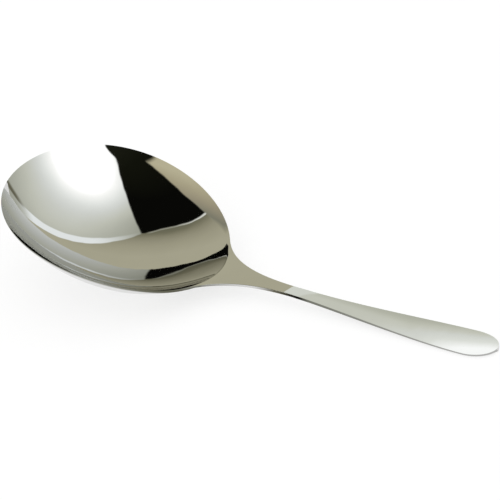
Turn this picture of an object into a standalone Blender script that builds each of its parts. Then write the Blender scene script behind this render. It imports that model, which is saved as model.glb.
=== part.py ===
"""A serving spoon with a wide oval bowl, at rest on a table at Z = 0, in metres.

The spoon is drawn in the frame of its rim: X runs from the bowl's tip to the handle's end, Z is
up and the tip is at zero. An empty then tips it until the bowl and the handle's end both touch
the table. The origin is the middle of the small flat that the bowl stands on.
"""

import math

import bmesh
import bpy
import numpy as np

NAME = "serving_spoon"

# Plan of the spoon. The bowl's heel is where its oval would close behind the neck.
LENGTH = 0.265
BOWL_WIDTH = 0.086
TIP_TO_WIDEST = 0.057
WIDEST_TO_HEEL = 0.0625
SHOULDER_ANGLE = math.radians(26.0)
SHOULDER_PULL = 0.0175
NECK_PULL = 0.0165
HEEL_TO_NECK = 0.0425
NECK_WIDTH = 0.0056
HANDLE_PULL = 0.027
GRIP_PULL = 0.024
GRIP_TO_END = 0.0135
GRIP_WIDTH = 0.0156

# Side view. The half depths lie halfway out from the bowl's middle to its rim, towards the tip, the
# heel and the side, and the front and back ones halfway in both directions at once.
BOWL_DEPTH = 0.0247
TIP_HALF_DEPTH = 0.0204
HEEL_HALF_DEPTH = 0.0182
SIDE_HALF_DEPTH = 0.0202
FRONT_HALF_DEPTH = 0.0151
BACK_HALF_DEPTH = 0.0142
RIM_CROWN = 0.0033
HANDLE_RISE = 0.0376
HANDLE_SAG = 0.0014
HEEL_OVERLAP = 0.002
HANDLE_CAMBER_RADIUS = 0.043
FOLD_SOFTNESS = 0.0001
FOLD_FADE = 0.00002
LINE_SOFTNESS = 0.002
NECK_SOFTNESS = 0.005

# Metal thickness: the bowl's wall, then the middle and the edge of the neck and of the grip.
WALL = 0.0011
NECK_MIDDLE = 0.0026
NECK_EDGE = 0.0017
GRIP_MIDDLE = 0.0019
GRIP_EDGE = 0.0010
SWELL_BEFORE_HEEL = 0.02
EDGE_ROUND = 0.0003

# Clearance at the weld, and how far the flat under the bowl is ground into it.
WELD_GAP = 0.0003
REST_FLAT_DEPTH = 0.00015

# Mesh counts.
BOWL_RINGS = 13
SHOULDER_COLUMNS = 7
BOWL_COLUMNS = 24
NECK_ROWS = 13
HANDLE_ROWS = 22
END_ROWS = 7
HANDLE_COLUMNS = 5
ROUND_STEPS = 2
LINE_SAMPLES = 2001

# Dependent sizes.
HALF_WIDTH = BOWL_WIDTH / 2
HEEL_AT = TIP_TO_WIDEST + WIDEST_TO_HEEL
NECK_AT = HEEL_AT + HEEL_TO_NECK
GRIP_AT = LENGTH - GRIP_TO_END
MEAN_REACH = (WIDEST_TO_HEEL + TIP_TO_WIDEST) / 2
REACH_SKEW = (WIDEST_TO_HEEL - TIP_TO_WIDEST) / 2
SHOULDER_HALF = HALF_WIDTH * math.sin(SHOULDER_ANGLE)
THICKEST = max(WALL, NECK_MIDDLE, GRIP_MIDDLE)


def smooth_step(value):
    value = min(max(value, 0.0), 1.0)
    return value * value * (3.0 - 2.0 * value)


def soft_plus(value):
    """A ramp with a rounded foot."""
    return math.log1p(math.exp(-abs(value))) + max(value, 0.0)


def bezier(points, at):
    back = 1.0 - at
    weights = (back**3, 3 * back * back * at, 3 * back * at * at, at**3)
    x = sum(weight * point[0] for weight, point in zip(weights, points))
    y = sum(weight * point[1] for weight, point in zip(weights, points))
    return x, y


def bowl_plan(across, angle):
    """Plan point of the bowl: across runs from 0 at its middle to 1 at the rim, angle 0 is the heel."""
    along = across * math.cos(angle)
    x = TIP_TO_WIDEST + MEAN_REACH * along + REACH_SKEW * along * along
    return x, HALF_WIDTH * across * math.sin(angle)


def bowl_along(x):
    """The inverse of bowl_plan on the centre line."""
    root = math.sqrt(max(MEAN_REACH**2 + 4 * REACH_SKEW * (x - TIP_TO_WIDEST), 0.0))
    return 2 * (x - TIP_TO_WIDEST) / (MEAN_REACH + root)


def bowl_depth(along, side):
    """Depth under the rim, where along is -1 at the tip and 1 at the heel and side is 1 at the sides."""
    lean = (HEEL_HALF_DEPTH - TIP_HALF_DEPTH) / 0.75
    ends = 4 * ((HEEL_HALF_DEPTH + TIP_HALF_DEPTH) / 1.5 - BOWL_DEPTH)
    sides = 4 * (SIDE_HALF_DEPTH / 0.75 - BOWL_DEPTH)
    side_lean = 8 * (BACK_HALF_DEPTH - FRONT_HALF_DEPTH) - 4 * lean
    corners = 16 * (BACK_HALF_DEPTH + FRONT_HALF_DEPTH - BOWL_DEPTH) - 4 * (ends + sides)
    inside = min(along, 1.0)
    square = side * side
    fullness = BOWL_DEPTH + inside * (lean + inside * ends)
    fullness += square * (sides + inside * (side_lean + inside * corners))
    return fullness * (1.0 - along * along - square)


def neck_line(x):
    """Height of the neck's and the handle's centre line. It runs out level under the bowl's rim."""
    foot = HEEL_AT - HEEL_OVERLAP
    slope = HANDLE_RISE / (LENGTH - foot)
    rise = slope * LINE_SOFTNESS * soft_plus((x - foot) / LINE_SOFTNESS)
    along = NECK_SOFTNESS * soft_plus((x - NECK_AT) / NECK_SOFTNESS) / (LENGTH - NECK_AT)
    return rise - 4 * HANDLE_SAG * along * (1.0 - along)


def top_height(x, y):
    """Upper face: the pressed bowl rolls over a soft fold at its heel into the neck and handle."""
    along = bowl_along(x)
    side = y / HALF_WIDTH
    crown = RIM_CROWN * side * side
    bowl = crown - bowl_depth(along, side)
    if along <= 0.0:
        return bowl
    camber = smooth_step((x - HEEL_AT) / HEEL_TO_NECK) * y * y / (2 * HANDLE_CAMBER_RADIUS)
    neck = neck_line(x) + crown - camber
    angle = math.atan2(abs(side), along)
    near_neck = smooth_step((1.8 * SHOULDER_ANGLE - angle) / (0.8 * SHOULDER_ANGLE))
    soft = FOLD_FADE + FOLD_SOFTNESS * near_neck
    return neck - soft * soft_plus((neck - bowl) / soft)


def thickness(x, side):
    """Metal thickness, where side runs from 0 on the centre line to 1 at the edge."""
    swell_from = HEEL_AT - SWELL_BEFORE_HEEL
    swell = smooth_step((x - swell_from) / (NECK_AT - swell_from))
    thin = smooth_step((x - NECK_AT) / (GRIP_AT - NECK_AT))
    middle = WALL + (NECK_MIDDLE - WALL) * swell + (GRIP_MIDDLE - NECK_MIDDLE) * thin
    edge = WALL + (NECK_EDGE - WALL) * swell + (GRIP_EDGE - NECK_EDGE) * thin
    return middle + (edge - middle) * side * side


class HalfSheet:
    """The half of an upper face on the side of +Y, with a thickness for each vertex."""

    def __init__(self):
        self.mesh = bmesh.new()
        self.weights = self.mesh.verts.layers.deform.verify()

    def point(self, x, y, side):
        vertex = self.mesh.verts.new((x, y, top_height(x, y)))
        vertex[self.weights][0] = thickness(x, side) / THICKEST
        return vertex

    def strip(self, before, after):
        """Quads between two rows that run outward, the second further along X."""
        for index in range(len(before) - 1):
            corners = (before[index], after[index], after[index + 1], before[index + 1])
            self.mesh.faces.new(corners)

    def fan(self, row, tip):
        for index in range(len(row) - 1):
            self.mesh.faces.new((row[index], tip, row[index + 1]))


def bowl_angles():
    """Spoke angles from the heel to the tip, with one on the shoulder."""
    shoulder = np.linspace(0.0, SHOULDER_ANGLE, SHOULDER_COLUMNS + 1)
    rim = np.linspace(SHOULDER_ANGLE, math.pi, BOWL_COLUMNS + 1)
    return [float(angle) for angle in (*shoulder, *rim[1:])]


def shoulder_curve():
    """Control points of the edge that sweeps from the bowl's rim into the neck."""
    start = bowl_plan(1.0, SHOULDER_ANGLE)
    run = (MEAN_REACH + 2 * REACH_SKEW * math.cos(SHOULDER_ANGLE)) * math.sin(SHOULDER_ANGLE)
    fall = HALF_WIDTH * math.cos(SHOULDER_ANGLE)
    pull = SHOULDER_PULL / math.hypot(run, fall)
    first = (start[0] + pull * run, start[1] - pull * fall)
    return start, first, (NECK_AT - NECK_PULL, NECK_WIDTH / 2), (NECK_AT, NECK_WIDTH / 2)


def bowl_half():
    """The bowl as rings about its middle, with the shoulders and the neck lofted from its heel."""
    sheet = HalfSheet()
    angles = bowl_angles()
    middle = sheet.point(TIP_TO_WIDEST, 0.0, 0.0)
    row = []
    for ring in range(1, BOWL_RINGS + 1):
        share = ring / BOWL_RINGS
        across = share * (1.25 - 0.25 * share)
        outer = []
        for angle in angles:
            x, y = bowl_plan(across, angle)
            y = 0.0 if angle in (angles[0], angles[-1]) else y
            outer.append(sheet.point(x, y, min(y / SHOULDER_HALF, 1.0)))
        if row:
            sheet.strip(row, outer)
        else:
            sheet.fan(outer[::-1], middle)
        row = outer
    neck_rows(sheet, row[: SHOULDER_COLUMNS + 1], angles[: SHOULDER_COLUMNS + 1])
    return sheet.mesh


def neck_rows(sheet, row, angles):
    """Rows from the heel's arc to the weld, kept between the centre line and the shoulder's edge."""
    curve = shoulder_curve()
    arc = [bowl_plan(1.0, angle) for angle in angles]
    lag = [(HEEL_AT - x) / (HEEL_AT - arc[-1][0]) for x, _ in arc]
    side = [y / arc[-1][1] for _, y in arc]
    for step in range(1, NECK_ROWS + 1):
        share = step / NECK_ROWS
        edge_x, edge_y = bezier(curve, share)
        centre_x = HEEL_AT + (NECK_AT - HEEL_AT) * share * (0.6 + 0.4 * share)
        after = []
        for index in range(len(arc)):
            x = centre_x + (edge_x - centre_x) * lag[index]
            after.append(sheet.point(x, edge_y * side[index], side[index]))
        sheet.strip(row, after)
        row = after


def handle_half():
    """The handle as stations from the weld to the grip, then a half-oval end."""
    sheet = HalfSheet()
    start = NECK_AT + WELD_GAP
    neck = NECK_WIDTH / 2
    grip = GRIP_WIDTH / 2
    curve = ((start, neck), (start + HANDLE_PULL, neck), (GRIP_AT - GRIP_PULL, grip), (GRIP_AT, grip))
    stations = [bezier(curve, step / HANDLE_ROWS) for step in range(HANDLE_ROWS + 1)]
    for step in range(1, END_ROWS):
        angle = math.pi / 2 * step / END_ROWS
        stations.append((GRIP_AT + GRIP_TO_END * math.sin(angle), grip * math.cos(angle)))
    row = []
    for x, half in stations:
        after = []
        for column in range(HANDLE_COLUMNS + 1):
            side = column / HANDLE_COLUMNS
            after.append(sheet.point(x, half * side, side))
        if row:
            sheet.strip(row, after)
        row = after
    sheet.fan(row, sheet.point(LENGTH, 0.0, 1.0))
    return sheet.mesh


def steel(name, roughness):
    material = bpy.data.materials.new(name)
    material.use_nodes = True
    shader = material.node_tree.nodes["Principled BSDF"]
    shader.inputs["Base Color"].default_value = (0.72, 0.71, 0.68, 1.0)
    shader.inputs["Metallic"].default_value = 1.0
    shader.inputs["Roughness"].default_value = roughness
    return material


def sheet_part(name, half, collection, material, parent):
    """A named part from half of its upper face: mirrored, thickened downward, edges rounded."""
    mesh = bpy.data.meshes.new(name)
    half.to_mesh(mesh)
    half.free()
    mesh.shade_smooth()
    mesh.set_sharp_from_angle(angle=math.radians(40.0))
    mesh.materials.append(material)
    part = bpy.data.objects.new(name, mesh)
    collection.objects.link(part)
    part.parent = parent
    part.vertex_groups.new(name="thickness")
    mirror = part.modifiers.new("halves", "MIRROR")
    mirror.use_axis = (False, True, False)
    mirror.merge_threshold = 0.00001
    solidify = part.modifiers.new("metal", "SOLIDIFY")
    solidify.thickness = THICKEST
    solidify.offset = -1.0
    solidify.vertex_group = "thickness"
    solidify.use_even_offset = True
    solidify.use_quality_normals = True
    bevel = part.modifiers.new("edges", "BEVEL")
    bevel.width = EDGE_ROUND
    bevel.segments = ROUND_STEPS
    bevel.limit_method = "ANGLE"
    bevel.angle_limit = math.radians(50.0)
    return part


def points_of(part):
    """Vertices of the part with its modifiers, in the frame of the rim."""
    graph = bpy.context.evaluated_depsgraph_get()
    evaluated = part.evaluated_get(graph)
    mesh = evaluated.to_mesh()
    points = np.empty(len(mesh.vertices) * 3, np.float32)
    mesh.vertices.foreach_get("co", points)
    evaluated.to_mesh_clear()
    return points.reshape(-1, 3).astype(float)


def lowest(points, tilt):
    return float((points[:, 2] * math.cos(tilt) - points[:, 0] * math.sin(tilt)).min())


def set_down(root, bowl, handle):
    """Tips the spoon until its handle touches the table as the bowl does, less the flat's depth."""
    bpy.context.view_layer.update()
    bowl_points = points_of(bowl)
    handle_points = points_of(handle)
    low = 0.0
    high = math.pi / 4
    for _ in range(50):
        tilt = (low + high) / 2
        if lowest(handle_points, tilt) > lowest(bowl_points, tilt) + REST_FLAT_DEPTH:
            low = tilt
        else:
            high = tilt
    line = [(x, 0.0, top_height(x, 0.0)) for x in np.linspace(TIP_TO_WIDEST, HEEL_AT, LINE_SAMPLES)]
    line = np.array(line) + WALL * np.array((math.sin(tilt), 0.0, -math.cos(tilt)))
    x, _, z = min(line, key=lambda point: lowest(point[None], tilt))
    root.rotation_euler = (0.0, tilt, 0.0)
    root.location.x = -(x * math.cos(tilt) + z * math.sin(tilt))
    root.location.z = -lowest(bowl_points, tilt) - REST_FLAT_DEPTH


def table_cutter(collection):
    """A block whose top is the table. It leaves the flat under the bowl."""
    mesh = bpy.data.meshes.new("table_block")
    block = bmesh.new()
    bmesh.ops.create_cube(block, size=BOWL_WIDTH)
    block.to_mesh(mesh)
    block.free()
    cutter = bpy.data.objects.new("table_block", mesh)
    cutter.location.z = -HALF_WIDTH
    cutter.display_type = "WIRE"
    cutter.hide_render = True
    collection.objects.link(cutter)
    return cutter


def main():
    for old in list(bpy.data.objects):
        bpy.data.objects.remove(old)
    parts = bpy.data.collections.new(NAME)
    cutters = bpy.data.collections.new("cutters")
    bpy.context.scene.collection.children.link(parts)
    bpy.context.scene.collection.children.link(cutters)
    root = bpy.data.objects.new("rim_frame", None)
    parts.objects.link(root)
    bowl = sheet_part("bowl", bowl_half(), parts, steel("bowl_steel", 0.08), root)
    handle = sheet_part("handle", handle_half(), parts, steel("handle_steel", 0.10), root)
    set_down(root, bowl, handle)
    flat = bowl.modifiers.new("rest_flat", "BOOLEAN")
    flat.operation = "DIFFERENCE"
    flat.solver = "EXACT"
    flat.object = table_cutter(cutters)


main()
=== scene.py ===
"""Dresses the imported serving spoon: two fine polished pieces, a pale floor, a studio and a camera."""

import math

import bmesh
import bpy
import numpy as np
from mathutils import Matrix, Vector


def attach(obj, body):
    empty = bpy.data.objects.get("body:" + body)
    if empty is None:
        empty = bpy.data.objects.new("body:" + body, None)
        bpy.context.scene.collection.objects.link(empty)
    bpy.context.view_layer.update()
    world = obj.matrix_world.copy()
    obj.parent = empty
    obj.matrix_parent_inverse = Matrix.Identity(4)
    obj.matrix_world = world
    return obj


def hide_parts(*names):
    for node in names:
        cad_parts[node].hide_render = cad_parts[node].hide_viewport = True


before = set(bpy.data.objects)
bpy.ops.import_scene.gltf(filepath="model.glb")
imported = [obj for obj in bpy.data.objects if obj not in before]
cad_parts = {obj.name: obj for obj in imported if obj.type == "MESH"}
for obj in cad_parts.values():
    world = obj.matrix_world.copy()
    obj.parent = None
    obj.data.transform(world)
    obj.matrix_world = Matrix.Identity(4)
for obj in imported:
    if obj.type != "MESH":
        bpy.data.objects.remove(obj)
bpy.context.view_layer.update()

# The spoon in the frame of its rim, in metres, as in the part's source.
LENGTH = 0.265
BOWL_WIDTH = 0.086
TIP_TO_WIDEST = 0.057
WIDEST_TO_HEEL = 0.0625
SHOULDER_ANGLE = math.radians(26.0)
SHOULDER_PULL = 0.0175
NECK_PULL = 0.0165
HEEL_TO_NECK = 0.0425
NECK_WIDTH = 0.0056
HANDLE_PULL = 0.027
GRIP_PULL = 0.024
GRIP_TO_END = 0.0135
GRIP_WIDTH = 0.0156
BOWL_DEPTH = 0.0247
TIP_HALF_DEPTH = 0.0204
HEEL_HALF_DEPTH = 0.0182
SIDE_HALF_DEPTH = 0.0202
FRONT_HALF_DEPTH = 0.0151
BACK_HALF_DEPTH = 0.0142
RIM_CROWN = 0.0033
HANDLE_RISE = 0.0376
HANDLE_SAG = 0.0014
HEEL_OVERLAP = 0.002
HANDLE_CAMBER_RADIUS = 0.043
FOLD_SOFTNESS = 0.0001
FOLD_FADE = 0.00002
LINE_SOFTNESS = 0.002
NECK_SOFTNESS = 0.005
WALL = 0.0011
NECK_MIDDLE = 0.0026
NECK_EDGE = 0.0017
GRIP_MIDDLE = 0.0019
GRIP_EDGE = 0.0010
SWELL_BEFORE_HEEL = 0.02
REST_FLAT_DEPTH = 0.00015

# The angle, in shoulder angles off the centre line, at which the heel's fold is down to FOLD_FADE.
FOLD_REACH = 1.8

# The scene's own edges: the lip's metal thins toward the rim, and edges are rounded past the heel.
LIP_FROM = 0.85
LIP_THINNING = 0.5
EDGE_ROUND = 0.00075
EDGE_STEPS = 3
ROUND_FADE = 0.02
SHARP_FROM = math.radians(50.0)
SHADED_SHARP_FROM = math.radians(40.0)
WELD_REACH = 0.002
ROW_REACH = 0.0004
MERGE_REACH = 0.00001

# Fine mesh counts, and how much the bowl's rings crowd at the rim and the neck's rows at the heel.
BOWL_RINGS = 56
SHOULDER_COLUMNS = 18
BOWL_COLUMNS = 84
NECK_ROWS = 40
HANDLE_ROWS = 70
END_ROWS = 22
HANDLE_COLUMNS = 12
RING_CROWDING = 0.25
ROW_CROWDING = 0.4

# The search for the tilt at which the spoon rests.
STEEPEST_TILT = math.radians(45.0)
TILT_STEPS = 50
LINE_SAMPLES = 2001

# The photo's camera in the frame of the rim. Its frame is 500 pixels square.
VIEW_AZIMUTH = math.radians(32.79)
VIEW_ELEVATION = math.radians(47.10)
VIEW_ROLL = math.radians(0.96)
VIEW_DISTANCE = 1.099
PIXELS_PER_METRE = 2140.3
TARGET_PIXEL = (242.02, 281.00)
MIDDLE_PIXEL = 249.5
FRAME_PIXELS = 500.0
SENSOR_WIDTH = 36.0
CLIP_START = 0.01

# The polished steel: the share of light it gives back, its tones, clouds, polishing lines and waves.
MIRROR = 0.66
STEEL_TONES = ((0.30, (0.645, 0.644, 0.638, 1.0)), (0.70, (0.675, 0.674, 0.669, 1.0)))
SMOOTHEST = 0.012
ROUGHEST = 0.040
CLOUD_SCALE = 38.0
CLOUD_DETAIL = 3.0
CLOUD_SKEW = 0.7
HAIR_SCALE = 2600.0
HAIR_DETAIL = 2.0
HAIR_SQUEEZE = 0.06
HAIR_STRENGTH = 0.010
HAIR_DEPTH = 0.0001
WAVE_SCALE = 110.0
WAVE_DETAIL = 1.0
WAVE_STRENGTH = 1.0
WAVE_DEPTH = 0.00004
HANDLE_GRAIN_TURN = 0.35

# The floor: grey paint that keeps the shadow, with a glow that makes it white to the eye.
FLOOR_REACH = 4.0
FLOOR_GREY = (0.30, 0.30, 0.30, 1.0)
FLOOR_GLOW = 0.72
WHITE = (1.0, 1.0, 1.0, 1.0)

# The studio's borders: each one's normal in the frame of the rim, and the square, linear and
# constant part of its bow over the place along it.
SEAM = (0.77, -0.335, 0.54)
DARK_RIGHT = (0.83, 0.235, 0.515)
DARK_RIGHT_BOW = (-0.22, 0.20, 0.0)
DARK_TOP = (0.52, -0.80, 0.29)
DARK_TOP_BOW = (-1.27, 1.90, -0.695)
DARK_TOP_BOWS_FROM = 0.5
HORIZON = (0.03, 0.335, 0.94)
HORIZON_BOW = (-0.27, -0.40, -0.14)
PANEL_FOOT = (0.515, 0.34, 0.785)
STRAIGHT = (0.0, 0.0, 0.0)
BORDER_BLUR = 0.012
FOOT_BLUR = 0.01

# The pale panel's light: a soft lamp and the sky over it.
LAMP = (0.415, -0.76, 0.50)
LAMP_SPREAD = 0.29
LAMP_GAIN = 1.42
LAMP_BASE = -0.04
SKY = (0.29, 0.53, 0.80)
SKY_GAIN = 0.50
LAMP_WHITE = (1.6, 1.6, 1.6, 1.0)

# Where the bright rib at the seam, the dull streak by the tip, the opening's sill and the table's
# end begin and where they are full, with the rib's taper and the table's slants.
RIB_TAPER = 0.125
RIB_SIDE = (0.085, 0.055)
RIB_HEEL_END = (0.30, -0.45)
RIB_TIP_END = (-0.985, -0.90)
STREAK_NEAR_SIDE = (0.13, 0.18)
STREAK_FAR_SIDE = (0.30, 0.22)
STREAK_END = (-0.93, -0.97)
SILL_SIDE = (-0.030, -0.020)
SILL_END = (0.50, 0.56)
TABLE_SLANT = -2.0
TABLE_END_SLANT = -0.6
TABLE_END = (-0.24, -0.19)

# The darkest part of the opening lies away from this direction.
OPENING = (0.30, -0.95, 0.10)

# The handle's glowing card in the frame of the rim, seen only in reflections: its place, the way it
# faces and its own X, and in its own frame its corners, the painted reflection tones of its glow and the
# slanted lighter strip at the neck.
CARD_AT = (0.1075, 0.044, 0.050)
CARD_FACE = (0.80, -0.50, -0.33)
CARD_ALONG = (1.0, 0.0, 0.2)
CARD_CORNERS = ((0.019, -0.06, 0.0), (0.14, -0.06, 0.0), (0.14, 0.05, 0.0), (-0.017, 0.05, 0.0))
GLOW_UPPER_FADE = (0.025, 0.080)
GLOW_SIDE_GAIN = 0.9
GLOW_RISE_FROM = 0.060
GLOW_RISE_GAIN = 1.1
GLOW_PER_METRE = 10.0
GLOW_MIDDLE = 0.4
STRIP_SLANT = 0.58
STRIP_SIDE = (0.0135, 0.0105)

# The glowing sheets on the table, seen only in reflections, which paint shade and reflection on the
# spoon's near edges: their height, the stretch of X that their tones span, and opposite corners.
SHEET_LIFT = 0.0002
SHEET_SPAN = 0.4
HANDLE_SHADE_SHEET = ((0.060, -0.035), (0.20, 0.0))
RIM_REFLECTION_SHEET = ((-0.165, -0.105), (0.058, 0.025))

# The rim's glowing sheet, painted reflection for the rim's outer edge, is an oval ring: its middle in X,
# its radii per metre, and where it fades.
RING_MIDDLE = -0.040
RING_PER_X = 11.8
RING_PER_Y = 14.0
RING_INSIDE = (0.70, 0.84)
RING_OUTSIDE = (1.45, 1.10)
RING_HEEL_END = (0.058, 0.036)
RING_FAR_END = (0.025, -0.010)

# Dependent sizes.
HALF_WIDTH = BOWL_WIDTH / 2
HEEL_AT = TIP_TO_WIDEST + WIDEST_TO_HEEL
NECK_AT = HEEL_AT + HEEL_TO_NECK
GRIP_AT = LENGTH - GRIP_TO_END
MEAN_REACH = (WIDEST_TO_HEEL + TIP_TO_WIDEST) / 2
REACH_SKEW = (WIDEST_TO_HEEL - TIP_TO_WIDEST) / 2
SHOULDER_HALF = HALF_WIDTH * math.sin(SHOULDER_ANGLE)
THICKEST = max(WALL, NECK_MIDDLE, GRIP_MIDDLE)


def smooth_step(value):
    value = min(max(value, 0.0), 1.0)
    return value * value * (3.0 - 2.0 * value)


def soft_plus(value):
    """A ramp with a rounded foot."""
    return math.log1p(math.exp(-abs(value))) + max(value, 0.0)


def bezier(points, at):
    back = 1.0 - at
    weights = (back**3, 3 * back * back * at, 3 * back * at * at, at**3)
    x = sum(weight * point[0] for weight, point in zip(weights, points))
    y = sum(weight * point[1] for weight, point in zip(weights, points))
    return x, y


def bowl_plan(across, angle):
    """Plan point of the bowl: across runs from 0 at its middle to 1 at the rim, angle 0 is the heel."""
    along = across * math.cos(angle)
    x = TIP_TO_WIDEST + MEAN_REACH * along + REACH_SKEW * along * along
    return x, HALF_WIDTH * across * math.sin(angle)


def bowl_along(x):
    """The inverse of bowl_plan on the centre line."""
    root = math.sqrt(max(MEAN_REACH**2 + 4 * REACH_SKEW * (x - TIP_TO_WIDEST), 0.0))
    return 2 * (x - TIP_TO_WIDEST) / (MEAN_REACH + root)


def bowl_depth(along, side):
    """Depth under the rim, where along is -1 at the tip and 1 at the heel and side is 1 at the sides."""
    # A paraboloid times a fullness that meets the half depths. Half way to the tip, the heel and the
    # sides the paraboloid is at 0.75, and at the corners between them at 0.5.
    lean = (HEEL_HALF_DEPTH - TIP_HALF_DEPTH) / 0.75
    ends = 4 * ((HEEL_HALF_DEPTH + TIP_HALF_DEPTH) / 1.5 - BOWL_DEPTH)
    sides = 4 * (SIDE_HALF_DEPTH / 0.75 - BOWL_DEPTH)
    side_lean = 8 * (BACK_HALF_DEPTH - FRONT_HALF_DEPTH) - 4 * lean
    corners = 16 * (BACK_HALF_DEPTH + FRONT_HALF_DEPTH - BOWL_DEPTH) - 4 * (ends + sides)
    inside = min(along, 1.0)
    square = side * side
    fullness = BOWL_DEPTH + inside * (lean + inside * ends)
    fullness += square * (sides + inside * (side_lean + inside * corners))
    return fullness * (1.0 - along * along - square)


def neck_line(x):
    """Height of the neck's and the handle's centre line. It runs out level under the bowl's rim."""
    foot = HEEL_AT - HEEL_OVERLAP
    slope = HANDLE_RISE / (LENGTH - foot)
    rise = slope * LINE_SOFTNESS * soft_plus((x - foot) / LINE_SOFTNESS)
    along = NECK_SOFTNESS * soft_plus((x - NECK_AT) / NECK_SOFTNESS) / (LENGTH - NECK_AT)
    return rise - 4 * HANDLE_SAG * along * (1.0 - along)


def top_height(x, y):
    """Upper face: the pressed bowl folds over at its heel into the neck and handle."""
    along = bowl_along(x)
    side = y / HALF_WIDTH
    crown = RIM_CROWN * side * side
    bowl = crown - bowl_depth(along, side)
    if along <= 0.0:
        return bowl
    camber = smooth_step((x - HEEL_AT) / HEEL_TO_NECK) * y * y / (2 * HANDLE_CAMBER_RADIUS)
    neck = neck_line(x) + crown - camber
    angle = math.atan2(abs(side), along)
    near_neck = smooth_step((FOLD_REACH - angle / SHOULDER_ANGLE) / (FOLD_REACH - 1.0))
    soft = FOLD_FADE + FOLD_SOFTNESS * near_neck
    return neck - soft * soft_plus((neck - bowl) / soft)


def thickness(x, side):
    """Metal thickness, where side runs from 0 on the centre line to 1 at the edge."""
    swell_from = HEEL_AT - SWELL_BEFORE_HEEL
    swell = smooth_step((x - swell_from) / (NECK_AT - swell_from))
    thin = smooth_step((x - NECK_AT) / (GRIP_AT - NECK_AT))
    middle = WALL + (NECK_MIDDLE - WALL) * swell + (GRIP_MIDDLE - NECK_MIDDLE) * thin
    edge = WALL + (NECK_EDGE - WALL) * swell + (GRIP_EDGE - NECK_EDGE) * thin
    return middle + (edge - middle) * side * side


class HalfSheet:
    """The half of an upper face on the side of +Y, with a thickness for each vertex."""

    def __init__(self):
        self.mesh = bmesh.new()
        self.weights = self.mesh.verts.layers.deform.verify()

    def point(self, x, y, side, share=1.0):
        """A vertex with a share of the metal's thickness."""
        vertex = self.mesh.verts.new((x, y, top_height(x, y)))
        vertex[self.weights][0] = share * thickness(x, side) / THICKEST
        return vertex

    def strip(self, before, after):
        """Quads between two rows that run outward, the second further along X."""
        for index in range(len(before) - 1):
            corners = (before[index], after[index], after[index + 1], before[index + 1])
            self.mesh.faces.new(corners)

    def fan(self, row, tip):
        for index in range(len(row) - 1):
            self.mesh.faces.new((row[index], tip, row[index + 1]))


def bowl_angles():
    """Spoke angles from the heel to the tip, with one on the shoulder."""
    shoulder = np.linspace(0.0, SHOULDER_ANGLE, SHOULDER_COLUMNS + 1)
    rim = np.linspace(SHOULDER_ANGLE, math.pi, BOWL_COLUMNS + 1)
    return [float(angle) for angle in (*shoulder, *rim[1:])]


def shoulder_curve():
    """Control points of the edge that sweeps from the bowl's rim into the neck."""
    start = bowl_plan(1.0, SHOULDER_ANGLE)
    run = (MEAN_REACH + 2 * REACH_SKEW * math.cos(SHOULDER_ANGLE)) * math.sin(SHOULDER_ANGLE)
    fall = HALF_WIDTH * math.cos(SHOULDER_ANGLE)
    pull = SHOULDER_PULL / math.hypot(run, fall)
    first = (start[0] + pull * run, start[1] - pull * fall)
    return start, first, (NECK_AT - NECK_PULL, NECK_WIDTH / 2), (NECK_AT, NECK_WIDTH / 2)


def bowl_half():
    """The bowl as rings about its middle, with the shoulders and the neck lofted from its heel."""
    sheet = HalfSheet()
    angles = bowl_angles()
    middle = sheet.point(TIP_TO_WIDEST, 0.0, 0.0)
    row = []
    for ring in range(1, BOWL_RINGS + 1):
        share = ring / BOWL_RINGS
        across = share * (1.0 + RING_CROWDING * (1.0 - share))
        near_rim = smooth_step((across - LIP_FROM) / (1.0 - LIP_FROM))
        outer = []
        for angle in angles:
            x, y = bowl_plan(across, angle)
            y = 0.0 if angle in (angles[0], angles[-1]) else y
            past_shoulder = smooth_step(angle / SHOULDER_ANGLE - 1.0)
            lip = 1.0 - LIP_THINNING * near_rim * past_shoulder
            outer.append(sheet.point(x, y, min(y / SHOULDER_HALF, 1.0), lip))
        if row:
            sheet.strip(row, outer)
        else:
            sheet.fan(outer[::-1], middle)
        row = outer
    neck_rows(sheet, row[: SHOULDER_COLUMNS + 1], angles[: SHOULDER_COLUMNS + 1])
    return sheet.mesh


def neck_rows(sheet, row, angles):
    """Rows from the heel's arc to the weld, kept between the centre line and the shoulder's edge."""
    curve = shoulder_curve()
    arc = [bowl_plan(1.0, angle) for angle in angles]
    lag = [(HEEL_AT - x) / (HEEL_AT - arc[-1][0]) for x, _ in arc]
    side = [y / arc[-1][1] for _, y in arc]
    for step in range(1, NECK_ROWS + 1):
        share = step / NECK_ROWS
        edge_x, edge_y = bezier(curve, share)
        centre_x = HEEL_AT + HEEL_TO_NECK * share * (1.0 - ROW_CROWDING * (1.0 - share))
        after = []
        for index in range(len(arc)):
            x = centre_x + (edge_x - centre_x) * lag[index]
            after.append(sheet.point(x, edge_y * side[index], side[index]))
        sheet.strip(row, after)
        row = after


def handle_half():
    """The handle as stations from the weld to the grip, then a half-oval end."""
    sheet = HalfSheet()
    neck = NECK_WIDTH / 2
    grip = GRIP_WIDTH / 2
    curve = (
        (NECK_AT, neck),
        (NECK_AT + HANDLE_PULL, neck),
        (GRIP_AT - GRIP_PULL, grip),
        (GRIP_AT, grip),
    )
    stations = [bezier(curve, step / HANDLE_ROWS) for step in range(HANDLE_ROWS + 1)]
    for step in range(1, END_ROWS):
        angle = math.pi / 2 * step / END_ROWS
        stations.append((GRIP_AT + GRIP_TO_END * math.sin(angle), grip * math.cos(angle)))
    row = []
    for x, half in stations:
        after = []
        for column in range(HANDLE_COLUMNS + 1):
            side = column / HANDLE_COLUMNS
            after.append(sheet.point(x, half * side, side))
        if row:
            sheet.strip(row, after)
        row = after
    sheet.fan(row, sheet.point(LENGTH, 0.0, 1.0))
    return sheet.mesh


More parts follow.
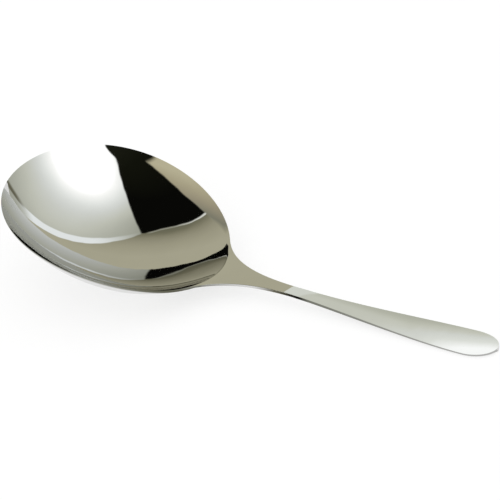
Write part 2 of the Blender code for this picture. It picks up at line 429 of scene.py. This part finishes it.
def trim_rim(mesh):
    """The bowl is trimmed straight down along its outline: metal that leans out past it is cut off."""
    steps = [step / NECK_ROWS for step in range(NECK_ROWS + 1)]
    shoulder = np.array([bezier(shoulder_curve(), step) for step in steps])
    for vertex in mesh.vertices:
        if vertex.co.x > shoulder[0, 0]:
            limit = float(np.interp(vertex.co.x, shoulder[:, 0], shoulder[:, 1]))
            vertex.co.y = min(max(vertex.co.y, -limit), limit)
            continue
        along = bowl_along(vertex.co.x)
        side = vertex.co.y / HALF_WIDTH
        if math.hypot(along, side) > 1.0:
            x, y = bowl_plan(1.0, math.atan2(abs(side), along))
            vertex.co.x = x
            vertex.co.y = math.copysign(y, side)


def solid_mesh(name, half):
    """The half sheet mirrored and thickened, as a mesh in the frame of the rim."""
    mesh = bpy.data.meshes.new(name)
    half.to_mesh(mesh)
    half.free()
    rough = bpy.data.objects.new(name + "_half", mesh)
    bpy.context.scene.collection.objects.link(rough)
    rough.vertex_groups.new(name="thickness")
    mirror = rough.modifiers.new("halves", "MIRROR")
    mirror.use_axis = (False, True, False)
    mirror.merge_threshold = MERGE_REACH
    solidify = rough.modifiers.new("metal", "SOLIDIFY")
    solidify.thickness = THICKEST
    solidify.offset = -1.0
    solidify.vertex_group = "thickness"
    solidify.use_even_offset = True
    solidify.use_quality_normals = True
    graph = bpy.context.evaluated_depsgraph_get()
    solid = bpy.data.meshes.new_from_object(rough.evaluated_get(graph))
    bpy.data.objects.remove(rough)
    solid.name = name
    return solid


def mark_edges(mesh):
    """Sharp edges are rounded more and more from the heel on, but for the flush ends at the weld."""
    work = bmesh.new()
    work.from_mesh(mesh)
    weight = work.edges.layers.float.new("bevel_weight_edge")
    for edge in work.edges:
        first, second = (vertex.co.x for vertex in edge.verts)
        x = (first + second) / 2
        at_weld = abs(x - NECK_AT) < WELD_REACH and abs(first - second) < ROW_REACH
        if edge.calc_face_angle(0.0) > SHARP_FROM and not at_weld:
            edge[weight] = min(max((x - HEEL_AT) / ROUND_FADE, 0.0), 1.0)
    work.to_mesh(mesh)
    work.free()


def mesh_points(mesh):
    points = np.empty(len(mesh.vertices) * 3, np.float32)
    mesh.vertices.foreach_get("co", points)
    return points.reshape(-1, 3).astype(float)


def lowest(points, tilt):
    return float((points[:, 2] * math.cos(tilt) - points[:, 0] * math.sin(tilt)).min())


def rest_matrix(bowl, handle):
    """From the frame of the rim to the table, as the part's source sets the spoon down."""
    bowl_points = mesh_points(bowl)
    handle_points = mesh_points(handle)
    low = 0.0
    high = STEEPEST_TILT
    for _ in range(TILT_STEPS):
        tilt = (low + high) / 2
        if lowest(handle_points, tilt) > lowest(bowl_points, tilt) + REST_FLAT_DEPTH:
            low = tilt
        else:
            high = tilt
    places = np.linspace(TIP_TO_WIDEST, HEEL_AT, LINE_SAMPLES)
    line = np.array([(x, 0.0, top_height(x, 0.0)) for x in places])
    line = line + WALL * np.array((math.sin(tilt), 0.0, -math.cos(tilt)))
    x, _, z = min(line, key=lambda point: lowest(point[None], tilt))
    back = -(x * math.cos(tilt) + z * math.sin(tilt))
    up = -lowest(bowl_points, tilt) - REST_FLAT_DEPTH
    return Matrix.Translation((back, 0.0, up)) @ Matrix.Rotation(tilt, 4, "Y")


class Nodes:
    """Short calls for building a node tree."""

    def __init__(self, owner):
        owner.use_nodes = True
        self.tree = owner.node_tree
        self.tree.nodes.clear()

    def add(self, kind, **settings):
        node = self.tree.nodes.new(kind)
        for key, value in settings.items():
            setattr(node, key, value)
        return node

    def put(self, socket, value):
        if isinstance(value, bpy.types.NodeSocket):
            self.tree.links.new(value, socket)
        else:
            socket.default_value = value

    def math(self, operation, *values):
        node = self.add("ShaderNodeMath", operation=operation)
        for socket, value in zip(node.inputs, values):
            self.put(socket, value)
        return node.outputs[0]

    def product(self, first, *others):
        for other in others:
            first = self.math("MULTIPLY", first, other)
        return first

    def dot(self, vector, direction):
        node = self.add("ShaderNodeVectorMath", operation="DOT_PRODUCT")
        self.put(node.inputs[0], vector)
        self.put(node.inputs[1], direction)
        return node.outputs["Value"]

    def step(self, value, low, high):
        """A smooth step from 0 at low to 1 at high, which may be the smaller one."""
        node = self.add("ShaderNodeMapRange", interpolation_type="SMOOTHSTEP")
        self.put(node.inputs["Value"], value)
        node.inputs["From Min"].default_value = low
        node.inputs["From Max"].default_value = high
        return node.outputs["Result"]

    def spread(self, value, low, high):
        """A value between 0 and 1 spread evenly from low to high."""
        node = self.add("ShaderNodeMapRange")
        self.put(node.inputs["Value"], value)
        node.inputs["To Min"].default_value = low
        node.inputs["To Max"].default_value = high
        return node.outputs["Result"]

    def mix(self, factor, first, second):
        """A mix of two colours, which are sockets 6 and 7 of the mix node, with socket 2 the result."""
        node = self.add("ShaderNodeMix", data_type="RGBA")
        self.put(node.inputs[0], factor)
        self.put(node.inputs[6], first)
        self.put(node.inputs[7], second)
        return node.outputs[2]

    def ramp(self, value, stops):
        node = self.add("ShaderNodeValToRGB")
        bar = node.color_ramp
        bar.elements[0].position = stops[0][0]
        bar.elements[0].color = stops[0][1]
        bar.elements[1].position = stops[-1][0]
        bar.elements[1].color = stops[-1][1]
        for position, colour in stops[1:-1]:
            bar.elements.new(position).color = colour
        self.put(node.inputs[0], value)
        return node.outputs[0]

    def noise(self, vector, scale, detail):
        node = self.add("ShaderNodeTexNoise")
        self.put(node.inputs["Vector"], vector)
        node.inputs["Scale"].default_value = scale
        node.inputs["Detail"].default_value = detail
        return node.outputs["Fac"]

    def bump(self, height, strength, depth):
        node = self.add("ShaderNodeBump")
        node.inputs["Strength"].default_value = strength
        node.inputs["Distance"].default_value = depth
        self.put(node.inputs["Height"], height)
        return node

    def place(self):
        """X and Y in the object's own frame."""
        split = self.add("ShaderNodeSeparateXYZ")
        self.put(split.inputs[0], self.add("ShaderNodeTexCoord").outputs["Object"])
        return split.outputs[0], split.outputs[1]

    def glow(self, colour):
        node = self.add("ShaderNodeEmission")
        self.put(node.inputs["Color"], colour)
        return node.outputs[0]

    def clear(self):
        return self.add("ShaderNodeBsdfTransparent").outputs[0]

    def blend(self, factor, first, second):
        """A mix of two shaders."""
        node = self.add("ShaderNodeMixShader")
        self.put(node.inputs[0], factor)
        self.put(node.inputs[1], first)
        self.put(node.inputs[2], second)
        return node.outputs[0]

    def show(self, surface, output="ShaderNodeOutputMaterial"):
        self.put(self.add(output).inputs["Surface"], surface)


class Studio(Nodes):
    """The world's node tree, read by directions in the frame of the rim."""

    def __init__(self, world, turn):
        super().__init__(world)
        self.turn = turn
        self.way = self.add("ShaderNodeTexCoord").outputs["Generated"]

    def toward(self, direction):
        return self.dot(self.way, self.turn @ Vector(direction).normalized())

    def border(self, normal, bow=STRAIGHT, bows_from=-1.0):
        """Distance from a border of the studio, which may bow, and the place along it."""
        normal = Vector(normal).normalized()
        square, linear, constant = bow
        along = self.toward(normal.cross(Vector((0.0, 0.0, 1.0))).normalized())
        bent = self.math("MAXIMUM", along, bows_from)
        bend = self.math("MULTIPLY_ADD", bent, square, linear)
        bend = self.math("MULTIPLY_ADD", bend, bent, constant)
        return self.math("SUBTRACT", self.toward(normal), bend), along

    def past(self, distance, blur=BORDER_BLUR):
        return self.step(distance, -blur, blur)


def tint(red, green, blue):
    """The light that the steel shows as this screen colour, each part from 0 to 255 in sRGB."""

    def linear(value):
        value = value / 255.0
        return value / 12.92 if value <= 0.04045 else ((value + 0.055) / 1.055) ** 2.4

    return (linear(red) / MIRROR, linear(green) / MIRROR, linear(blue) / MIRROR, 1.0)


def steel(name, turn):
    """Mirror-polished stainless steel with faint cloudiness and hair-fine polishing lines."""
    material = bpy.data.materials.new(name)
    nodes = Nodes(material)
    place = nodes.add("ShaderNodeTexCoord").outputs["Object"]
    shift = nodes.add("ShaderNodeMapping")
    shift.inputs["Location"].default_value = (turn, turn * CLOUD_SKEW, 0.0)
    nodes.put(shift.inputs["Vector"], place)
    stretch = nodes.add("ShaderNodeMapping")
    stretch.inputs["Scale"].default_value = (HAIR_SQUEEZE, 1.0, 1.0)
    stretch.inputs["Rotation"].default_value = (0.0, 0.0, turn)
    nodes.put(stretch.inputs["Vector"], place)
    cloud = nodes.noise(shift.outputs["Vector"], CLOUD_SCALE, CLOUD_DETAIL)
    hair = nodes.noise(stretch.outputs["Vector"], HAIR_SCALE, HAIR_DETAIL)
    wave = nodes.noise(shift.outputs["Vector"], WAVE_SCALE, WAVE_DETAIL)
    wear = nodes.math("MULTIPLY", nodes.math("ADD", cloud, hair), 0.5)
    hairs = nodes.bump(hair, HAIR_STRENGTH, HAIR_DEPTH)
    waves = nodes.bump(wave, WAVE_STRENGTH, WAVE_DEPTH)
    nodes.put(waves.inputs["Normal"], hairs.outputs["Normal"])
    shader = nodes.add("ShaderNodeBsdfPrincipled")
    shader.inputs["Metallic"].default_value = 1.0
    nodes.put(shader.inputs["Base Color"], nodes.ramp(cloud, STEEL_TONES))
    nodes.put(shader.inputs["Roughness"], nodes.spread(wear, SMOOTHEST, ROUGHEST))
    nodes.put(shader.inputs["Normal"], waves.outputs["Normal"])
    nodes.show(shader.outputs["BSDF"])
    return material


def piece(name, mesh, node, rest, material):
    """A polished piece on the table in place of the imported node."""
    mesh.transform(rest)
    for vertex in mesh.vertices:
        vertex.co.z = max(vertex.co.z, 0.0)
    mesh.shade_smooth()
    mesh.set_sharp_from_angle(angle=SHADED_SHARP_FROM)
    mesh.materials.clear()
    mesh.materials.append(material)
    made = bpy.data.objects.new(name, mesh)
    bpy.context.scene.collection.objects.link(made)
    bevel = made.modifiers.new("edges", "BEVEL")
    bevel.width = EDGE_ROUND
    bevel.segments = EDGE_STEPS
    bevel.limit_method = "WEIGHT"
    bevel.harden_normals = True
    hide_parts(node)
    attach(made, "root")
    return made


def floor():
    """A wide floor that is white to the eye and in reflections, and keeps the spoon's shadow."""
    mesh = bpy.data.meshes.new("floor")
    plane = bmesh.new()
    bmesh.ops.create_grid(plane, x_segments=1, y_segments=1, size=FLOOR_REACH)
    plane.to_mesh(mesh)
    plane.free()
    ground = bpy.data.objects.new("floor", mesh)
    bpy.context.scene.collection.objects.link(ground)
    material = bpy.data.materials.new("floor_white")
    nodes = Nodes(material)
    paint = nodes.add("ShaderNodeBsdfDiffuse")
    paint.inputs["Color"].default_value = FLOOR_GREY
    path = nodes.add("ShaderNodeLightPath")
    seen = nodes.math("MAXIMUM", path.outputs["Is Camera Ray"], path.outputs["Is Glossy Ray"])
    glow = nodes.add("ShaderNodeEmission")
    nodes.put(glow.inputs["Strength"], nodes.math("MULTIPLY", seen, FLOOR_GLOW))
    both = nodes.add("ShaderNodeAddShader")
    nodes.put(both.inputs[0], paint.outputs[0])
    nodes.put(both.inputs[1], glow.outputs[0])
    nodes.show(both.outputs[0])
    mesh.materials.append(material)


def pale_panel(studio, seam, seam_along):
    """A panel lit by a soft lamp and the sky, with a bright rib at its seam and a dull streak."""
    lamp = studio.math("SUBTRACT", studio.toward(LAMP), 1.0)
    lamp = studio.math("EXPONENT", studio.math("DIVIDE", lamp, LAMP_SPREAD))
    lamp = studio.math("MULTIPLY_ADD", lamp, LAMP_GAIN, LAMP_BASE)
    sky = studio.math("MULTIPLY", studio.toward(SKY), SKY_GAIN)
    tones = (
        (0.30, tint(150, 152, 140)),
        (0.40, tint(170, 172, 161)),
        (0.48, tint(187, 189, 178)),
        (0.62, tint(205, 208, 204)),
        (0.75, tint(223, 226, 223)),
        (0.92, tint(247, 248, 246)),
        (1.00, LAMP_WHITE),
    )
    pale = studio.ramp(studio.math("ADD", lamp, sky), tones)
    rib = studio.product(
        studio.step(studio.math("MULTIPLY_ADD", seam_along, RIB_TAPER, seam), *RIB_SIDE),
        studio.past(seam),
        studio.step(seam_along, *RIB_HEEL_END),
        studio.step(seam_along, *RIB_TIP_END),
    )
    pale = studio.mix(rib, pale, tint(222, 226, 226))
    streak = studio.product(
        studio.step(seam, *STREAK_NEAR_SIDE),
        studio.step(seam, *STREAK_FAR_SIDE),
        studio.step(seam_along, *STREAK_END),
    )
    return studio.mix(streak, pale, tint(95, 93, 77))


def back_wall(studio):
    """A beige wall with a dark opening, which has a pale sill."""
    dark_top, dark_along = studio.border(DARK_TOP, DARK_TOP_BOW, DARK_TOP_BOWS_FROM)
    wall_tones = (
        (0.04, tint(103, 102, 84)),
        (0.08, tint(108, 106, 87)),
        (0.17, tint(133, 130, 110)),
        (0.25, tint(144, 141, 121)),
        (0.35, tint(153, 150, 129)),
        (0.55, tint(163, 160, 139)),
    )
    sill_tones = ((0.75, tint(138, 138, 124)), (0.97, tint(206, 208, 201)))
    opening_tones = ((0.55, tint(8, 8, 6)), (0.85, tint(17, 18, 11)), (1.0, tint(26, 27, 19)))
    beige = studio.ramp(studio.math("MULTIPLY", studio.toward(DARK_TOP), -1.0), wall_tones)
    sill = studio.product(studio.step(dark_top, *SILL_SIDE), studio.step(dark_along, *SILL_END))
    beige = studio.mix(sill, beige, studio.ramp(dark_along, sill_tones))
    opening = studio.ramp(studio.toward(OPENING), opening_tones)
    return studio.mix(studio.past(dark_top), beige, opening)


def table_top(studio, horizon, horizon_along):
    """A warm table, with its tones on a slant to its far edge."""
    tones = (
        (0.00, tint(155, 152, 130)),
        (0.15, tint(121, 120, 105)),
        (0.40, tint(147, 140, 119)),
        (0.62, tint(164, 157, 131)),
        (0.80, tint(178, 172, 145)),
    )
    slant = studio.math("MULTIPLY_ADD", horizon, TABLE_SLANT, horizon_along)
    return studio.ramp(studio.math("ADD", slant, 1.0), tones)


def light_tent(turn):
    """The world: a studio seen only in reflections, and plain white for the eye and for paint."""
    world = bpy.data.worlds.new("studio")
    bpy.context.scene.world = world
    studio = Studio(world, turn)
    seam, seam_along = studio.border(SEAM)
    dark_right, _ = studio.border(DARK_RIGHT, DARK_RIGHT_BOW)
    horizon, horizon_along = studio.border(HORIZON, HORIZON_BOW)
    panel_foot, _ = studio.border(PANEL_FOOT)
    table_end = studio.math("MULTIPLY_ADD", horizon, TABLE_END_SLANT, horizon_along)
    above = studio.math("MAXIMUM", studio.past(horizon), studio.step(table_end, *TABLE_END))
    back = studio.mix(above, table_top(studio, horizon, horizon_along), back_wall(studio))
    panel = studio.product(
        studio.past(seam),
        studio.past(dark_right),
        studio.past(panel_foot, FOOT_BLUR),
    )
    room = studio.mix(panel, back, pale_panel(studio, seam, seam_along))
    path = studio.add("ShaderNodeLightPath")
    plain = studio.math("MAXIMUM", path.outputs["Is Camera Ray"], path.outputs["Is Diffuse Ray"])
    background = studio.add("ShaderNodeBackground")
    studio.put(background.inputs["Color"], studio.mix(plain, room, WHITE))
    studio.show(background.outputs[0], "ShaderNodeOutputWorld")


def board(name, corners):
    """A flat board of four corners that only reflections show."""
    mesh = bpy.data.meshes.new(name)
    mesh.from_pydata(corners, (), ((0, 1, 2, 3),))
    made = bpy.data.objects.new(name, mesh)
    bpy.context.scene.collection.objects.link(made)
    made.visible_camera = False
    made.visible_diffuse = False
    made.visible_shadow = False
    made.visible_transmission = False
    return made


def card_painted_reflection():
    """A glow that paints the handle's reflection: brighter toward the grip's end, with a lighter strip
    at the neck and a clear back.
    """
    material = bpy.data.materials.new("handle_card_painted_reflection")
    nodes = Nodes(material)
    along, side = nodes.place()
    upper = nodes.product(nodes.math("MAXIMUM", side, 0.0), nodes.step(along, *GLOW_UPPER_FADE))
    lower = nodes.math("MINIMUM", side, 0.0)
    spread = nodes.math("MULTIPLY", nodes.math("ADD", upper, lower), GLOW_SIDE_GAIN)
    rise = nodes.math("MAXIMUM", nodes.math("SUBTRACT", along, GLOW_RISE_FROM), 0.0)
    rise = nodes.math("MULTIPLY", rise, GLOW_RISE_GAIN)
    shade = nodes.math("MULTIPLY_ADD", nodes.math("ADD", spread, rise), GLOW_PER_METRE, GLOW_MIDDLE)
    tones = (
        (0.16, tint(170, 172, 159)),
        (0.27, tint(178, 180, 167)),
        (0.37, tint(189, 191, 179)),
        (0.45, tint(196, 198, 188)),
        (0.54, tint(205, 208, 202)),
        (0.68, tint(216, 219, 213)),
        (0.86, tint(246, 248, 247)),
    )
    strip = nodes.step(nodes.math("MULTIPLY_ADD", side, STRIP_SLANT, along), *STRIP_SIDE)
    front = nodes.glow(nodes.mix(strip, nodes.ramp(shade, tones), tint(204, 207, 199)))
    behind = nodes.add("ShaderNodeNewGeometry").outputs["Backfacing"]
    nodes.show(nodes.blend(behind, front, nodes.clear()))
    return material


def handle_card(rest):
    """A glowing card beside the handle, seen only in reflections, that paints the handle's reflection;
    the handle sees its front.
    """
    face = Vector(CARD_FACE).normalized()
    along = Vector(CARD_ALONG)
    along = (along - face * along.dot(face)).normalized()
    turn = Matrix((along, face.cross(along), face)).transposed().to_4x4()
    card = board("handle_card", CARD_CORNERS)
    card.matrix_world = rest @ Matrix.Translation(CARD_AT) @ turn
    card.data.materials.append(card_painted_reflection())


def ring_cover(nodes, x, y):
    """The share of an oval ring round the bowl, which fades out at its edges and its ends."""
    wide = nodes.math("MULTIPLY", nodes.math("SUBTRACT", x, RING_MIDDLE), RING_PER_X)
    deep = nodes.math("MULTIPLY", y, RING_PER_Y)
    radius = nodes.math("MULTIPLY_ADD", wide, wide, nodes.math("MULTIPLY", deep, deep))
    radius = nodes.math("SQRT", radius)
    return nodes.product(
        nodes.step(radius, *RING_INSIDE),
        nodes.step(radius, *RING_OUTSIDE),
        nodes.step(x, *RING_HEEL_END),
        nodes.step(y, *RING_FAR_END),
    )


def painted_edge_sheet(name, corners, tones, cover=None):
    """A glowing sheet on the table, seen only in reflections, that paints shade and reflection on a near
    edge of the spoon, with a tone at each X of a list.
    """
    (left, near), (right, far) = corners
    outline = ((left, near), (right, near), (right, far), (left, far))
    glow_sheet = board(name, [(x, y, SHEET_LIFT) for x, y in outline])
    material = bpy.data.materials.new(name + "_cloth")
    nodes = Nodes(material)
    x, y = nodes.place()
    stops = [(at / SHEET_SPAN + 0.5, tone) for at, tone in tones]
    painted_glow = nodes.glow(nodes.ramp(nodes.math("MULTIPLY_ADD", x, 1.0 / SHEET_SPAN, 0.5), stops))
    if cover:
        painted_glow = nodes.blend(cover(nodes, x, y), nodes.clear(), painted_glow)
    nodes.show(painted_glow)
    glow_sheet.data.materials.append(material)


def painted_edge_sheets():
    # Painted shade for the handle's near edge: a dark band along X with lighter painted reflection on
    # either side.
    handle_shade_tones = (
        (0.0612, tint(209, 209, 208)),
        (0.0700, tint(105, 103, 88)),
        (0.0792, tint(40, 39, 32)),
        (0.0840, tint(12, 12, 9)),
        (0.0896, tint(118, 119, 110)),
        (0.1500, tint(150, 150, 146)),
        (0.1900, tint(175, 175, 174)),
    )
    # Painted reflection for the rim's outer edge: grey turning darker along X.
    rim_reflection_tones = ((-0.004, tint(143, 144, 134)), (0.028, tint(95, 95, 81)))
    painted_edge_sheet("handle_painted_shade_sheet", HANDLE_SHADE_SHEET, handle_shade_tones)
    painted_edge_sheet("rim_painted_reflection_sheet", RIM_REFLECTION_SHEET, rim_reflection_tones, ring_cover)


def camera(rest):
    """The photo's camera, turned so that the spoon's middle falls on its pixel."""
    right = Vector((math.cos(VIEW_AZIMUTH), math.sin(VIEW_AZIMUTH), 0.0))
    back = Vector(
        (
            math.sin(VIEW_AZIMUTH) * math.cos(VIEW_ELEVATION),
            -math.cos(VIEW_AZIMUTH) * math.cos(VIEW_ELEVATION),
            math.sin(VIEW_ELEVATION),
        )
    )
    up = back.cross(right)
    right, up = (
        math.cos(VIEW_ROLL) * right + math.sin(VIEW_ROLL) * up,
        math.cos(VIEW_ROLL) * up - math.sin(VIEW_ROLL) * right,
    )
    eye = Vector((LENGTH / 2, 0.0, 0.0)) + back * VIEW_DISTANCE
    focal = PIXELS_PER_METRE * VIEW_DISTANCE
    aim_x = (MIDDLE_PIXEL - TARGET_PIXEL[0]) / focal
    aim_y = (MIDDLE_PIXEL - TARGET_PIXEL[1]) / focal
    back = (back - aim_x * right + aim_y * up).normalized()
    right = (right - back * right.dot(back)).normalized()
    up = back.cross(right)
    turn = Matrix((right, up, back)).transposed().to_4x4()
    lens = bpy.data.cameras.new("photo_camera")
    lens.sensor_width = SENSOR_WIDTH
    lens.lens = focal / FRAME_PIXELS * SENSOR_WIDTH
    lens.clip_start = CLIP_START
    view = bpy.data.objects.new("photo_camera", lens)
    bpy.context.scene.collection.objects.link(view)
    view.matrix_world = rest @ Matrix.Translation(eye) @ turn
    bpy.context.scene.camera = view


def main():
    bowl = solid_mesh("bowl_polished", bowl_half())
    handle = solid_mesh("handle_polished", handle_half())
    trim_rim(bowl)
    mark_edges(bowl)
    mark_edges(handle)
    rest = rest_matrix(bowl, handle)
    piece("bowl_polished", bowl, "bowl", rest, steel("bowl_mirror_steel", 0.0))
    piece("handle_polished", handle, "handle", rest, steel("handle_mirror_steel", HANDLE_GRAIN_TURN))
    floor()
    light_tent(rest.to_3x3())
    handle_card(rest)
    painted_edge_sheets()
    camera(rest)
    bpy.context.scene.view_settings.view_transform = "Standard"


main()
